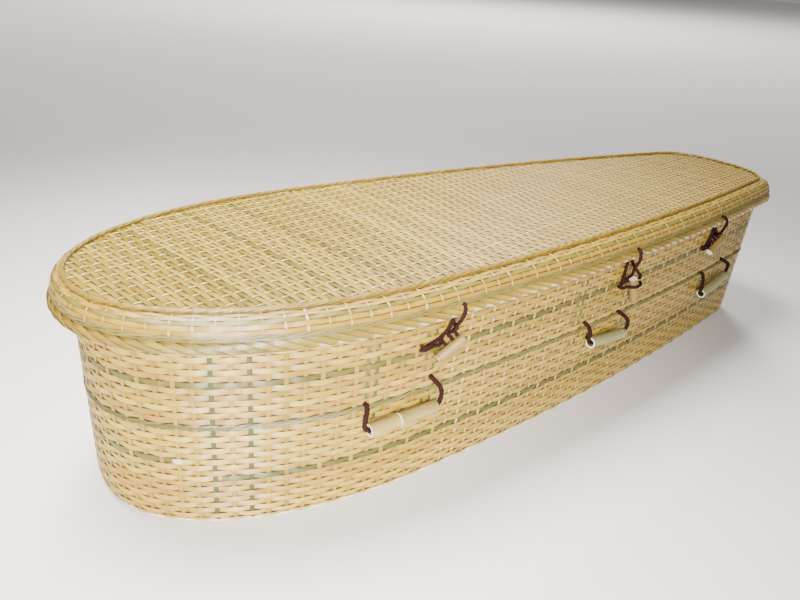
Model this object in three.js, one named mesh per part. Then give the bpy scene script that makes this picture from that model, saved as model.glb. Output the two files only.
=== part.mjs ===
// Woven bamboo coffin with a lift-off lid, closed.
//
// Millimetres, +Z up. X runs along the length, from the wide head end at -X to the narrow foot end at +X.
// The origin is on the ground under the middle of the lid's border. The two long sides carry the same
// handles and toggles. The base and the lid are hollow and empty; the fine weave is left to the surface.
import * as THREE from 'three';

// Plan of the lid's border, the widest outline of the coffin
const LENGTH = 1930;
const HEAD = { reach: 567, power: 2.13, half: 333.5 };  // rounded end: length, squareness, half width
const FOOT = { reach: 130, power: 2.6, half: 210 };
const SIDE_BOW = 28;                                    // how far the long sides swell between the two
const STEPS = { head: 14, side: 6, foot: 9 };          // stations round one half of the outline

// Heights
const HOOP_HEIGHT = 5;
const BASE_RIM = 392;
const LID_TOP = 424.5;
const LID_CROWN = 4;
const BORDER = { low: 371, radius: 10.5, lobe: 1.4 };

// Walls and gaps
const WEAVE_WALL = 7;                                   // two layers of strips, pressed together
const GAP = 0.3;
const START_OFF = GAP + 1.2;                            // where a cord leaves the weave

// How far each level lies inside the border's outline, at the head, at the foot and along the sides
const UNDER_LID = { head: 38.6, foot: 33, side: 35.4 };
const LEAN = { head: 0, foot: -23, side: 17 };          // more of it at the ground, less where it flares
const BOTTOM_ROLL = { depth: 15, height: 34 };          // the wall rolls under to the bottom
const LID_SKIRT = 22;                                   // lid wall behind the border
const LID_WALL = 9;                                     // lid wall above the border
const LID_EDGE = { head: 31, foot: 31, side: 50 };      // edge of the lid's top
const SHOULDER_POWER = 2.6;
const EDGE_BAND = { wide: 5.4, thin: 3.8, height: 430.4, steps: 100, twist: Math.PI / 4 };
const BORDER_STEPS = 156;
const BORDER_TWIST = Math.PI * 2 / 9;

// Handles: hollow tubes on a cord; x and z of the tube's middle, and of the two wall holes for the cord
const HANDLE = { radius: 12, bore: 8.6, off: 19, cord: 9.5 };
const HANDLES = [
  { x: -467, z: 180, tilt: 0, length: 149, holes: [[-543, 229], [-401, 242]] },
  { x: 128, z: 171.5, tilt: -0.11, length: 135, holes: [[43, 231], [176, 221]] },
  { x: 660, z: 165.5, tilt: 0.14, length: 143, holes: [[581, 218], [707, 227]] },
];
const HANDLE_BEND = { out: 10, wide: 9, high: 0.53, mouth: [10, 12], entry: [2.5, 1], inside: 14 };

// Toggles: short bars; middle of the bar, its slant, and how far its upper end stands out.
// The tie comes from a hole in the wall and the loop from the lid. Their routes are x, z and the distance
// inside the border's outline, and each ends against the bar, at some way along it from its middle.
const TOGGLE = { length: 62, radius: 9.8, off: 20, cord: 7.5, behind: 0.6 };
const TOGGLES = [
  {
    x: -375, z: 302, slant: 0.70, out: 0.25,
    tie: { hole: [-433, 307], route: [[-408, 310, 30], [-393, 311, 28]], end: -4 },
    loop: {
      route: [
        [-367, 396, 7.6], [-368, 395, 1], [-371, 387, -5], [-377, 375, -6], [-380, 362, 0], [-379, 346, 9],
      ],
      end: 12,
    },
  },
  {
    x: 188, z: 281, slant: 1.83, out: -0.08,
    tie: { hole: [158, 287], route: [[166, 291, 26]], over: 16 },
    loop: {
      route: [
        [147, 395, 7.6], [147, 395, 1], [145, 384, -5.5], [142, 370, -6], [144, 351, 3], [153, 331, 11],
      ],
      end: 26.5,
    },
  },
  {
    x: 585, z: 304, slant: 0.62, out: 0.12,
    tie: { hole: [538, 296], route: [[552, 298, 30], [563, 302, 27]], end: -6 },
    loop: {
      route: [
        [541, 396, 7.6], [545, 395, 1], [551, 387, -5], [555, 374, -6], [560, 360, 0], [567, 344, 8],
      ],
      end: 6,
    },
  },
];
const TIE_BEND = { out: 8, along: 0.2 };                 // how a tie leaves its hole
const CORD_SIDES = 7;
const HOOK_ANGLES = [0.3, 0.9, 1.5, 2.1, 2.7];

const STRAW = new THREE.MeshStandardMaterial({ color: 0xd9c488, roughness: 0.5, metalness: 0 });
const PALE = new THREE.MeshStandardMaterial({ color: 0xe6dfc6, roughness: 0.6, metalness: 0 });
const OLIVE = new THREE.MeshStandardMaterial({ color: 0xa9a45f, roughness: 0.5, metalness: 0 });
const CANE = new THREE.MeshStandardMaterial({ color: 0xcfc393, roughness: 0.35, metalness: 0 });
const CORD = new THREE.MeshStandardMaterial({ color: 0x4a2a22, roughness: 0.9, metalness: 0 });

const HEAD_X = -LENGTH / 2 + HEAD.reach;
const FOOT_X = LENGTH / 2 - FOOT.reach;

// Half width of the outline before the ends close it; the taper goes on straight past both ends
function halfWidth(x) {
  const u = (x - HEAD_X) / (FOOT_X - HEAD_X);
  const inner = THREE.MathUtils.clamp(u, 0, 1);
  const slope = FOOT.half - HEAD.half + 4 * SIDE_BOW * (1 - 2 * inner);
  const at = HEAD.half + (FOOT.half - HEAD.half) * inner + 4 * SIDE_BOW * inner * (1 - inner);
  return at + slope * (u - inner);
}

// One point of the outline, t from 0 at the head's tip over 1, 2 where the sides begin and end, to 3
function planPoint(t, inset) {
  if (t < 1) {
    const a = t * Math.PI / 2;
    const x = HEAD_X - (HEAD.reach - inset.head) * Math.cos(a) ** (2 / HEAD.power);
    return [x, (halfWidth(x) - inset.side) * Math.sin(a) ** (2 / HEAD.power)];
  }
  if (t <= 2) {
    const x = HEAD_X + (FOOT_X - HEAD_X) * (t - 1);
    return [x, halfWidth(x) - inset.side];
  }
  const a = (3 - t) * Math.PI / 2;
  const x = FOOT_X + (FOOT.reach - inset.foot) * Math.max(Math.cos(a), 0) ** (2 / FOOT.power);
  return [x, (halfWidth(x) - inset.side) * Math.max(Math.sin(a), 0) ** (2 / FOOT.power)];
}

// Stations of the whole outline, along -Y from head to foot and back along +Y
function stations() {
  const half = [];
  for (let i = 0; i < STEPS.head; i++) half.push(i / STEPS.head);
  for (let i = 0; i < STEPS.side; i++) half.push(1 + i / STEPS.side);
  for (let i = 0; i < STEPS.foot; i++) half.push(2 + i / STEPS.foot);
  const near = half.map((t) => ({ t, side: -1 }));
  const far = half.slice(1).reverse().map((t) => ({ t, side: 1 }));
  return [...near, { t: 3, side: -1 }, ...far];
}
const STATIONS = stations();

function ring(inset, z) {
  return STATIONS.map(({ t, side }) => {
    const [x, y] = planPoint(t, inset);
    return new THREE.Vector3(x, side * y, z);
  });
}

const same = (value) => ({ head: value, foot: value, side: value });
const plus = (a, b, k = 1) => ({
  head: a.head + b.head * k, foot: a.foot + b.foot * k, side: a.side + b.side * k,
});

function geometryFrom(points, faces) {
  const geometry = new THREE.BufferGeometry();
  geometry.setAttribute('position', new THREE.Float32BufferAttribute(points.flatMap((p) => p.toArray()), 3));
  geometry.setIndex(faces);
  geometry.computeVertexNormals();
  return geometry;
}

// Faces between rings of n points each; a closed profile joins the last ring to the first
function bands(count, n, closed) {
  const faces = [];
  for (let j = 0; j < (closed ? count : count - 1); j++) {
    const low = j * n;
    const high = ((j + 1) % count) * n;
    for (let i = 0; i < n; i++) {
      const k = (i + 1) % n;
      faces.push(low + i, low + k, high + k, low + i, high + k, high + i);
    }
  }
  return faces;
}

// A shell: the first ring closes with a face that looks down, the last with one that looks up
function shell(rings, firstMiddle, lastMiddle) {
  const n = STATIONS.length;
  const points = [...rings.flat(), firstMiddle, lastMiddle];
  const faces = bands(rings.length, n, false);
  const first = points.length - 2;
  const last = points.length - 1;
  const top = (rings.length - 1) * n;
  for (let i = 0; i < n; i++) {
    const k = (i + 1) % n;
    faces.push(first, k, i, last, top + i, top + k);
  }
  return geometryFrom(points, faces);
}

// The base's outer face: it leans in to the ground and rolls under at the bottom
function baseInset(z) {
  const leaning = plus(UNDER_LID, LEAN, 1 - z / BORDER.low);
  if (z >= BOTTOM_ROLL.height) return leaning;
  const k = 1 - z / BOTTOM_ROLL.height;
  return plus(leaning, same(BOTTOM_ROLL.depth * (1 - Math.sqrt(1 - k * k))));
}

function baseBasket() {
  const bottom = HOOP_HEIGHT + GAP;
  const outer = [bottom, 11, 20, BOTTOM_ROLL.height, BASE_RIM];
  const inner = [BASE_RIM, BOTTOM_ROLL.height, 21, bottom + WEAVE_WALL];
  const rings = [
    ...outer.map((z) => ring(baseInset(z), z)),
    ...inner.map((z) => ring(plus(baseInset(z), same(WEAVE_WALL)), z)),
  ];
  const middle = (z) => new THREE.Vector3(0, 0, z);
  return shell(rings, middle(bottom), middle(bottom + WEAVE_WALL));
}

function baseHoop() {
  const out = plus(baseInset(HOOP_HEIGHT), same(1.5));
  const inside = plus(out, same(11));
  const rings = [ring(out, 0), ring(out, HOOP_HEIGHT), ring(inside, HOOP_HEIGHT), ring(inside, 0)];
  return geometryFrom(rings.flat(), bands(rings.length, STATIONS.length, true));
}

// The lid's convex side, from above the border over the shoulder to the edge of the top
function shoulder(steps, inward) {
  const start = BORDER.low + 2 * BORDER.radius + 7;
  const rise = LID_TOP - inward - start;
  const rings = [];
  for (let i = 0; i <= steps; i++) {
    const a = (i / steps) * Math.PI / 2;
    const k = 1 - Math.max(Math.cos(a), 0) ** (2 / SHOULDER_POWER);
    const inset = plus(same(LID_WALL + inward), plus(LID_EDGE, same(-LID_WALL)), k);
    rings.push(ring(inset, start + rise * Math.sin(a) ** (2 / SHOULDER_POWER)));
  }
  return rings;
}

function lidShell() {
  const low = BORDER.low + 3;
  const step = BORDER.low + 2 * BORDER.radius + 1;
  const shrink = (points, k, rise) => points.map((p) => new THREE.Vector3(p.x * k, p.y * k, p.z + rise));
  const inside = shoulder(3, WEAVE_WALL).reverse();
  const outside = shoulder(4, 0);
  const rings = [
    shrink(inside[0], 0.55, LID_CROWN * 0.7),
    ...inside,
    ring(same(LID_SKIRT + WEAVE_WALL), step),
    ring(same(LID_SKIRT + WEAVE_WALL), low),
    ring(same(LID_SKIRT), low),
    ring(same(LID_SKIRT), step),
    ...outside,
    shrink(outside[outside.length - 1], 0.55, LID_CROWN * 0.7),
  ];
  const crown = LID_TOP + LID_CROWN;
  return shell(rings, new THREE.Vector3(0, 0, crown - WEAVE_WALL), new THREE.Vector3(0, 0, crown));
}

// A closed loop at one level, evenly spaced along its length, with the outward direction at each place
function evenLoop(inset, z, count) {
  const dense = [];
  for (let i = 0; i <= 600; i++) dense.push([...planPoint(i / 200, inset)]);
  const near = dense.map(([x, y]) => new THREE.Vector3(x, -y, z));
  const far = dense.slice(1, -1).reverse().map(([x, y]) => new THREE.Vector3(x, y, z));
  const curve = new THREE.CatmullRomCurve3([...near, ...far], true);
  curve.arcLengthDivisions = 3000;
  const places = [];
  for (let i = 0; i < count; i++) {
    const tangent = curve.getTangentAt(i / count);
    const out = new THREE.Vector3(tangent.y, -tangent.x, 0).normalize();
    places.push({ at: curve.getPointAt(i / count), out });
  }
  return places;
}

// A twisted loop: a lobed section that turns a little at every step, like strands laid round each other
function twistedLoop(inset, z, count, corners, radiusAt, twist) {
  const turns = Math.round(count * twist / (Math.PI * 2));
  const places = evenLoop(inset, z, count);
  const points = [];
  for (let j = 0; j < corners; j++) {
    places.forEach(({ at, out }, i) => {
      const a = (j / corners) * Math.PI * 2;
      const radius = radiusAt(a);
      const angle = a + turns * Math.PI * 2 * i / count;
      const p = at.clone().addScaledVector(out, radius * Math.cos(angle));
      p.z += radius * Math.sin(angle);
      points.push(p);
    });
  }
  return geometryFrom(points, bands(corners, count, true));
}

function lidBorder() {
  const { low, radius, lobe } = BORDER;
  const bulge = (a) => radius - lobe + lobe * Math.cos(3 * a);
  return twistedLoop(same(radius), low + radius, BORDER_STEPS, 6, bulge, BORDER_TWIST);
}

function lidEdgeBand() {
  const { wide, thin, height, steps, twist } = EDGE_BAND;
  const section = (a) => (Math.abs(Math.cos(a)) > 0.5 ? wide : thin);
  return twistedLoop(plus(LID_EDGE, same(-3)), height, steps, 4, section, twist);
}

// Place on a long side's base wall: point on the weave, direction along it and direction out of it
function wallAt(x, z, side, off = 0) {
  const inset = baseInset(z);
  const slope = (halfWidth(x + 1) - halfWidth(x - 1)) / 2;
  const along = new THREE.Vector3(1, side * slope, 0).normalize();
  const out = new THREE.Vector3(-slope, side, 0).normalize();
  const at = new THREE.Vector3(x, side * (halfWidth(x) - inset.side), z).addScaledVector(out, off);
  return { at, along, out };
}

// A closed tube along a smooth curve; pace is the length of a step in diameters
function cord(points, diameter, pace) {
  const curve = new THREE.CatmullRomCurve3(points, false, 'centripetal');
  const section = new THREE.Shape();
  for (let i = 0; i < CORD_SIDES; i++) {
    const a = (i / CORD_SIDES) * Math.PI * 2;
    const p = [Math.cos(a) * diameter / 2, Math.sin(a) * diameter / 2];
    if (i === 0) section.moveTo(...p);
    else section.lineTo(...p);
  }
  const steps = Math.round(curve.getLength() / (diameter * pace));
  return new THREE.ExtrudeGeometry(section, { steps, bevelEnabled: false, extrudePath: curve });
}

function rod(profile, middle, direction) {
  const mesh = new THREE.Mesh(new THREE.LatheGeometry(profile, 12));
  mesh.position.copy(middle);
  mesh.quaternion.setFromUnitVectors(new THREE.Vector3(0, 1, 0), direction);
  return mesh;
}

const UP = new THREE.Vector3(0, 0, 1);
const group = new THREE.Group();

function add(name, material, mesh) {
  mesh.name = name;
  mesh.material = material;
  group.add(mesh);
}

function addHandle(number, { x, z, tilt, length, holes }, side) {
  const { radius, bore, off } = HANDLE;
  const { at, along, out } = wallAt(x, z, side, off);
  const axis = along.clone().multiplyScalar(Math.cos(tilt)).addScaledVector(UP, Math.sin(tilt));
  const half = length / 2;
  const profile = [[bore, -half], [radius, -half], [radius, half], [bore, half], [bore, -half]];
  add(`handle_${number}`, CANE, rod(profile.map((p) => new THREE.Vector2(...p)), at, axis));

  // From a hole the cord bends out, hangs down past the tube's mouth and turns into it
  const end = (sign) => {
    const bend = HANDLE_BEND;
    const hole = wallAt(...holes[sign < 0 ? 0 : 1], side);
    const mouth = at.clone().addScaledVector(axis, sign * half);
    const from = (past, lift) => mouth.clone().addScaledVector(axis, sign * past).addScaledVector(UP, lift);
    return [
      hole.at.clone().addScaledVector(hole.out, START_OFF),
      hole.at.clone().addScaledVector(hole.out, bend.out).addScaledVector(UP, -2),
      from(bend.wide, (hole.at.z - mouth.z) * bend.high).addScaledVector(out, 1),
      from(...bend.mouth),
      from(...bend.entry),
      from(-bend.inside, 0),
    ];
  };
  const route = [...end(-1), at.clone(), ...end(1).reverse()];
  add(`handle_cord_${number}`, CORD, new THREE.Mesh(cord(route, HANDLE.cord, 1.6)));
}

function addToggle(number, { x, z, slant, out: stand, tie, loop }, side) {
  const { length, radius, off, behind } = TOGGLE;
  const { at, along, out } = wallAt(x, z, side, off);
  const axis = along.clone().multiplyScalar(Math.cos(slant)).addScaledVector(UP, Math.sin(slant))
    .addScaledVector(out, stand).normalize();
  const half = length / 2;
  const profile = [[0, -half], [radius, -half], [radius, half], [0, half]];
  add(`toggle_${number}`, CANE, rod(profile.map((p) => new THREE.Vector2(...p)), at, axis));

  // Directions across the bar: towards the head end, and forwards, away from the wall
  const front = out.clone().addScaledVector(axis, -out.dot(axis)).normalize();
  const across = axis.clone().cross(front).normalize();
  if (across.dot(along) > 0) across.negate();
  const around = (shift, angle, reach) => at.clone().addScaledVector(axis, shift)
    .addScaledVector(across, reach * Math.cos(angle)).addScaledVector(front, reach * Math.sin(angle));

  // A cord either ends against the bar, a little behind its upper side, or hooks over its front
  const against = (shift) => [14, 7, TOGGLE.cord * 0.02 + GAP].map((k) => around(shift, -behind, radius + k));
  const over = (shift) => HOOK_ANGLES.map((a) => around(shift, a, radius + TOGGLE.cord / 2 + 2.4));
  const close = ({ end, over: shift }) => (shift === undefined ? against(end) : over(shift));
  const laid = ({ route }) => route.map(([px, pz, inset]) => (
    new THREE.Vector3(px, side * (halfWidth(px) - inset), pz)));

  const hole = wallAt(...tie.hole, side);
  const start = hole.at.clone().addScaledVector(hole.out, START_OFF);
  const offWall = start.clone().addScaledVector(hole.out, TIE_BEND.out).lerp(laid(tie)[0], TIE_BEND.along);
  const tieRoute = [start, offWall, ...laid(tie), ...close(tie)];
  add(`toggle_cord_${number}`, CORD, new THREE.Mesh(cord(tieRoute, TOGGLE.cord, 1.7)));
  add(`lid_loop_${number}`, CORD, new THREE.Mesh(cord([...laid(loop), ...close(loop)], TOGGLE.cord, 1.7)));
}

add('base_basket', STRAW, new THREE.Mesh(baseBasket()));
add('base_hoop', PALE, new THREE.Mesh(baseHoop()));
add('lid_shell', STRAW, new THREE.Mesh(lidShell()));
add('lid_border', STRAW, new THREE.Mesh(lidBorder()));
add('lid_edge_band', OLIVE, new THREE.Mesh(lidEdgeBand()));
[-1, 1].forEach((side, s) => {
  HANDLES.forEach((handle, i) => addHandle(s * HANDLES.length + i + 1, handle, side));
  TOGGLES.forEach((toggle, i) => addToggle(s * TOGGLES.length + i + 1, toggle, side));
});

export default group;
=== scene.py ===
# %% [markdown]
# # A woven bamboo coffin
# The coffin is basketwork: a tapered base, a lift-off lid, a plaited border, and bamboo handles and
# toggles tied on with brown cord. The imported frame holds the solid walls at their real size. This
# lesson lays the real strips over those walls, one by one, so that the weave has true relief.

# %% Load the frame
import math

import bpy
import numpy as np
from mathutils import Matrix, Vector


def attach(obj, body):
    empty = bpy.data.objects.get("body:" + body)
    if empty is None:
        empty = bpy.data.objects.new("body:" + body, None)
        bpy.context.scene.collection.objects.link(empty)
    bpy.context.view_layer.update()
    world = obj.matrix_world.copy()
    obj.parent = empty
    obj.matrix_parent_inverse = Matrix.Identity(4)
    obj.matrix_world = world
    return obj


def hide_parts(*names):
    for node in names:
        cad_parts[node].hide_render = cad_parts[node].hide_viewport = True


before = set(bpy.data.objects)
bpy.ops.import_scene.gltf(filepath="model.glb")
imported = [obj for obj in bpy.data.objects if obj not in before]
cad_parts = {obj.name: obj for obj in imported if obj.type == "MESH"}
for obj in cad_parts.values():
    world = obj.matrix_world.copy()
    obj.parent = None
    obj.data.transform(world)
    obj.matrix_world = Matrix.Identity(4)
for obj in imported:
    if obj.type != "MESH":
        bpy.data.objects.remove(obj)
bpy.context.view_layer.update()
MM = 0.001
rng = np.random.RandomState(11)

# %% [markdown]
# ## The camera
# The photograph was taken from above the head end with a wide lens. The place, the three turns and
# the lens were found by matching the outlines of the lid and base, so they are kept as plain values.

# %% The camera
CAMERA_PLACE = Vector((-1.0993, -1.1243, 0.9165))
CAMERA_YAW = 0.6404       # from +Y towards +X
CAMERA_PITCH = -0.4515
CAMERA_ROLL = 0.0653
FOCAL_PIXELS = 690
PHOTO_WIDTH = 800

forward = Vector((math.sin(CAMERA_YAW) * math.cos(CAMERA_PITCH),
                  math.cos(CAMERA_YAW) * math.cos(CAMERA_PITCH), math.sin(CAMERA_PITCH)))
level_right = Vector((math.cos(CAMERA_YAW), -math.sin(CAMERA_YAW), 0))
level_up = level_right.cross(forward)
right = level_right * math.cos(CAMERA_ROLL) + level_up * math.sin(CAMERA_ROLL)
up = level_up * math.cos(CAMERA_ROLL) - level_right * math.sin(CAMERA_ROLL)
bpy.ops.object.camera_add()
camera = bpy.context.object
turn = Matrix((right, up, -forward)).transposed().to_4x4()
camera.matrix_world = Matrix.Translation(CAMERA_PLACE) @ turn
camera.data.sensor_width = 36
camera.data.lens = FOCAL_PIXELS / PHOTO_WIDTH * camera.data.sensor_width
bpy.context.scene.camera = camera
print("lens", round(camera.data.lens, 2), "mm")

# %% [markdown]
# ## Floor and light
# The coffin stands on a pale seamless sheet. A tall narrow lamp in front on the left gives the white
# glints on the strips of the rounded head end, and its narrow spread keeps it to that end. A wide one
# overhead fills the lid, and one far behind on the right lights the sheet there.

# %% Floor and light
FLOOR_SIZE = 120
LAMP_COLOUR = (1.0, 0.98, 0.95)
WORLD_COLOUR, WORLD_STRENGTH = (0.88, 0.85, 0.84, 1), 0.33
bpy.ops.mesh.primitive_plane_add(size=FLOOR_SIZE)
floor = bpy.context.object
floor.name = "floor"


def soft_lamp(name, place, target, size, power, spread):
    bpy.ops.object.light_add(type="AREA", location=place)
    lamp = bpy.context.object
    lamp.name = name
    lamp.data.shape = "RECTANGLE"
    lamp.data.size, lamp.data.size_y = size
    lamp.data.energy = power
    lamp.data.spread = math.radians(spread)
    lamp.data.color = LAMP_COLOUR
    lamp.rotation_euler = (Vector(target) - Vector(place)).to_track_quat("-Z", "Y").to_euler()
    print(name, power, "W")


soft_lamp("lamp_front_left", (-1.95, -2.35, 1.0), (-0.8, -0.5, 0.2), size=(0.4, 1.9), power=44,
          spread=50)
soft_lamp("lamp_overhead", (-0.9, 0.6, 3.2), (-0.8, -0.2, 0.3), size=(1.6, 1.4), power=92, spread=88)
soft_lamp("lamp_behind", (9, 12, 12), (9, 12, 0), size=(6, 6), power=4200, spread=180)
world = bpy.data.worlds.new("studio")
bpy.context.scene.world = world
world.use_nodes = True
background = world.node_tree.nodes["Background"]
background.inputs["Color"].default_value = WORLD_COLOUR
background.inputs["Strength"].default_value = WORLD_STRENGTH

# %% [markdown]
# ## The outline
# From above the coffin is a rounded head end, two gently bowed sides and a small rounded foot end.
# Every level of base and lid is this outline moved inwards, so one formula carries all the strips.
# A place on a woven wall is then two numbers: how far round, and how high.

# %% The outline
HEAD = {"reach": 567 * MM, "power": 2.13, "half": 333.5 * MM}
FOOT = {"reach": 130 * MM, "power": 2.6, "half": 210 * MM}
LENGTH = 1930 * MM
SIDE_BOW = 28 * MM
HEAD_X = -LENGTH / 2 + HEAD["reach"]
FOOT_X = LENGTH / 2 - FOOT["reach"]


def half_width(x):
    u = (x - HEAD_X) / (FOOT_X - HEAD_X)
    inner = np.clip(u, 0, 1)
    slope = FOOT["half"] - HEAD["half"] + 4 * SIDE_BOW * (1 - 2 * inner)
    at = HEAD["half"] + (FOOT["half"] - HEAD["half"]) * inner + 4 * SIDE_BOW * inner * (1 - inner)
    return at + slope * (u - inner)


def plan(t, inset):
    """Outline from the head's tip (0) over the two ends of the side (1, 2) to the foot's tip (3)."""
    head, foot, side = inset
    a = np.clip(t, 0, 1) * math.pi / 2
    b = np.clip(3 - t, 0, 1) * math.pi / 2
    x_head = HEAD_X - (HEAD["reach"] - head) * np.cos(a).clip(0) ** (2 / HEAD["power"])
    x_foot = FOOT_X + (FOOT["reach"] - foot) * np.cos(b).clip(0) ** (2 / FOOT["power"])
    x_side = HEAD_X + (FOOT_X - HEAD_X) * (t - 1)
    x = np.where(t < 1, x_head, np.where(t > 2, x_foot, x_side))
    close = np.where(t < 1, np.sin(a) ** (2 / HEAD["power"]), np.sin(b) ** (2 / FOOT["power"]))
    return x, (half_width(x) - side) * close


UNDER_LID = np.array((38.6, 33, 35.4)) * MM
LEAN = np.array((0, -23, 17)) * MM
ROLL_DEPTH, ROLL_HEIGHT = 15 * MM, 34 * MM
BORDER_LOW = 371 * MM


def base_inset(z):
    k = np.clip(1 - z / ROLL_HEIGHT, 0, 1)
    roll = ROLL_DEPTH * (1 - np.sqrt(1 - k * k))
    return tuple(UNDER_LID[i] + LEAN[i] * (1 - z / BORDER_LOW) + roll for i in range(3))


t_table = np.linspace(0, 3, 6001)
x_table, y_table = plan(t_table, base_inset(0.3))
arc_table = np.concatenate([[0], np.cumsum(np.hypot(np.diff(x_table), np.diff(y_table)))])
GIRTH = 2 * arc_table[-1]


def around(f, inset):
    """Plan place at fraction f of the way round, along -Y from head to foot and back along +Y."""
    g = np.mod(f, 1.0)
    near = g < 0.5
    t = np.interp(np.where(near, g, 1 - g) * GIRTH, arc_table, t_table)
    x, y = plan(t, inset)
    return x, np.where(near, -y, y)


def base_wall(f, z):
    x, y = around(f, base_inset(z))
    return np.stack([x, y, z + 0 * f], -1)


print("girth", round(GIRTH, 3), "m")

# %% [markdown]
# ## One strip
# A split strip is a long flat ribbon with a slightly crowned face. Bending a box along a path with a
# curve modifier would twist it, so each ribbon is built from its centre line and the direction out of
# the wall: five corners at every step. Its length and width go into the UV map for the grain. How
# tan, green, golden or white it is goes into a colour attribute.

# %% One strip
SECTION = np.array([(-1, -0.5), (1, -0.5), (1, -0.4), (0, 0.5), (-1, -0.4)])   # across, outward
SMOOTH_UNDER = math.radians(42)
AHEAD = 1e-4                                # a short way round, for measuring directions


def unit(v):
    return v / np.linalg.norm(v, axis=-1, keepdims=True).clip(1e-12)


def ribbon(centre, out, width, thick, shade, lean=0.0):
    """One strip as arrays. shade is how tan, green, golden and white it is, for all of it or per step."""
    count, corners = len(centre), len(SECTION)
    tangent = unit(np.gradient(centre, axis=0))
    across = unit(np.cross(out, tangent))
    out = np.cross(tangent, across)
    across, out = (across * math.cos(lean) + out * math.sin(lean),
                   out * math.cos(lean) - across * math.sin(lean))
    half = np.broadcast_to(np.asarray(width) / 2, count)[:, None, None]
    points = (centre[:, None] + across[:, None] * half * SECTION[None, :, :1]
              + out[:, None] * thick * SECTION[None, :, 1:]).reshape(-1, 3)
    steps = np.linalg.norm(np.diff(centre, axis=0), axis=1)
    along = rng.uniform(0, 5) + np.concatenate([[0], np.cumsum(steps)])
    uv = np.stack([np.repeat(along, corners), np.tile((SECTION[:, 0] + 1) / 2, count)], -1)
    i = np.arange(count - 1)[:, None] * corners
    j, k = np.arange(corners)[None], (np.arange(corners)[None] + 1) % corners
    sides = np.stack([i + j, i + k, i + corners + k, i + corners + j], -1).reshape(-1, 4)
    ends = [np.arange(corners)[::-1], np.arange(corners) + (count - 1) * corners]
    shades = np.broadcast_to(np.asarray(shade, float), (count, 4)).repeat(corners, axis=0)
    return points, sides, ends, uv, shades


def bundle(name, ribbons):
    """All ribbons of one kind as one mesh piece."""
    offset, points, corners, totals, uvs, shades = 0, [], [], [], [], []
    for places, sides, ends, uv, shade in ribbons:
        points.append(places)
        uvs.append(uv)
        shades.append(shade)
        corners += [(sides + offset).ravel()] + [end + offset for end in ends]
        totals += [np.full(len(sides), 4)] + [[len(end)] for end in ends]
        offset += len(places)
    points, corners, totals = (np.concatenate(part) for part in (points, corners, totals))
    uvs, shades = np.concatenate(uvs), np.concatenate(shades)
    mesh = bpy.data.meshes.new(name)
    mesh.vertices.add(len(points))
    mesh.vertices.foreach_set("co", points.astype(np.float32).ravel())
    mesh.loops.add(len(corners))
    mesh.loops.foreach_set("vertex_index", corners.astype(np.int32))
    mesh.polygons.add(len(totals))
    mesh.polygons.foreach_set("loop_start", (np.cumsum(totals) - totals).astype(np.int32))
    mesh.uv_layers.new(name="UVMap").data.foreach_set("uv", uvs[corners].astype(np.float32).ravel())
    attribute = mesh.color_attributes.new("shade", "FLOAT_COLOR", "POINT")
    attribute.data.foreach_set("color", shades.astype(np.float32).ravel())
    mesh.update(calc_edges=True)
    obj = bpy.data.objects.new(name, mesh)
    bpy.context.collection.objects.link(obj)
    bpy.ops.object.select_all(action="DESELECT")
    bpy.context.view_layer.objects.active = obj
    obj.select_set(True)
    bpy.ops.object.shade_smooth_by_angle(angle=SMOOTH_UNDER)
    print(name, len(ribbons), "strips,", int((totals - 2).sum()), "triangles")
    return obj


def on_surface(surface, f, v, off, step=1e-4):
    """Places that stand off a surface, and the direction out of it."""
    centre = surface(f, v)
    onward = surface(f + AHEAD, v) - surface(f - AHEAD, v)
    upward = surface(f, v + step) - surface(f, v - step)
    out = unit(np.cross(onward, upward))
    return centre + out * np.asarray(off)[..., None], out


def wander(q, size):
    """A slow random drift along q."""
    a = rng.uniform(0, 2 * math.pi, 3)
    waves = np.sin(q * 0.31 + a[0]) + 0.7 * np.sin(q * 0.83 + a[1]) + 0.4 * np.sin(q * 2.1 + a[2])
    return size * waves / 2


SOME = 0.12                                 # share of strips and stakes with a faint green


def plain_shade():
    """Bamboo differs from strip to strip: mostly cream, some tan, a few golden or faintly green."""
    tan = rng.beta(2.0, 2.6)
    gold = rng.beta(1.2, 4.5)
    tint = rng.uniform(0.05, 0.3) if rng.rand() < SOME else 0.0
    return tan, tint, gold, 0.0


def flat_wave(q):
    """1 where a strip passes over, -1 where it passes under, and flat for a while at both."""
    wave = np.cos(math.pi * q)
    return wave * (1.5 - 0.5 * wave * wave)


def painted_depth_shade(shade, over):
    """Painted shade: browner where a strip dips behind another; painted highlight: paler where it stands
    out.
    """
    shades = np.array(np.broadcast_to(np.asarray(shade, float), (len(over), 4)))
    # painted shade at the dips and a painted highlight at the crests
    shades[:, 0] = (shades[:, 0] + 0.5 * (-over).clip(0, 1) ** 3 - 0.1 * over.clip(0, 1)).clip(0, 1)
    return shades


# %% [markdown]
# ## Weaving a wall
# In plain weave a weaver goes over one upright stake and under the next, and the row above does the
# opposite. With stakes numbered round the wall and rows numbered upwards, a weaver stands out where
# the two numbers add up to an even number. A cosine, flattened at both ends of its swing, gives it that
# bend: a stiff strip lies flat over a stake and turns quickly between two.

# %% Weaving a wall
PER_STAKE = 6                               # steps of a strip from one stake to the next
STRIP_PAIRS = (24, 40)                      # a strip's length in pairs of stakes
SHORTEST_STRIP = 20                         # in stakes
PAST_END = 0.1                              # how far a strip runs past its last stake
STAKE_LEAN, LEAN_ROWS, STAKE_SLANT = 0.06, 20, 0.03


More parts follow.
